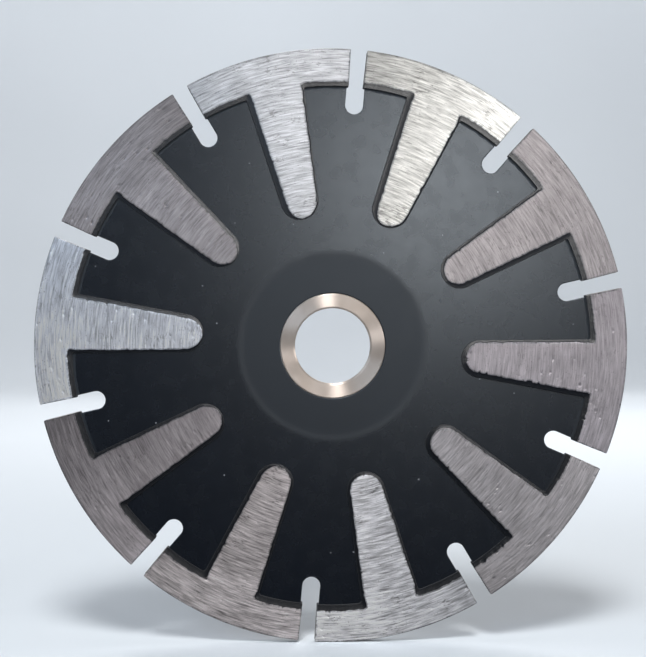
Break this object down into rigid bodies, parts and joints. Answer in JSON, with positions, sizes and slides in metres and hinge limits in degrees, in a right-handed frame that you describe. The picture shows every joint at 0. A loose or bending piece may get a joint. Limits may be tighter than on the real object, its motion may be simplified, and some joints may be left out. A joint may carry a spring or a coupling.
{
  "type": "diamond blade",
  "caption": "Round masonry cutting blade: a slotted steel disc with T-shaped sintered diamond segments around its rim and a removable reducing bush in its bore.",
  "frame": {"origin": "centre of the bore, on the mid-plane of the disc", "axes": "The disc lies in the XZ plane and its axis is Y. The front face looks towards -Y and the top of the blade as shown is +Z."},
  "size_m": [0.125, 0.0024, 0.125],
  "materials": {
    "core": "semi-gloss black paint on a flat punched steel disc, matt on the flange seats",
    "segments": "ground sintered metal with fine scratches and pits, bare",
    "bush": "turned, bare, slightly warm in tint"
  },
  "bodies": {
    "blade": {"core": "core", "segment_01": "segments", "segment_02": "segments", "segment_03": "segments", "segment_04": "segments", "segment_05": "segments", "segment_06": "segments", "segment_07": "segments", "segment_08": "segments", "segment_09": "segments", "segment_10": "segments"},
    "bush": {"reducing_bush": "bush"}
  },
  "joints": [
    {"name": "bush_slide", "type": "slide", "parent": "blade", "child": "bush", "axis": [0, -1, 0], "range_m": [0, 0.008]}
  ]
}
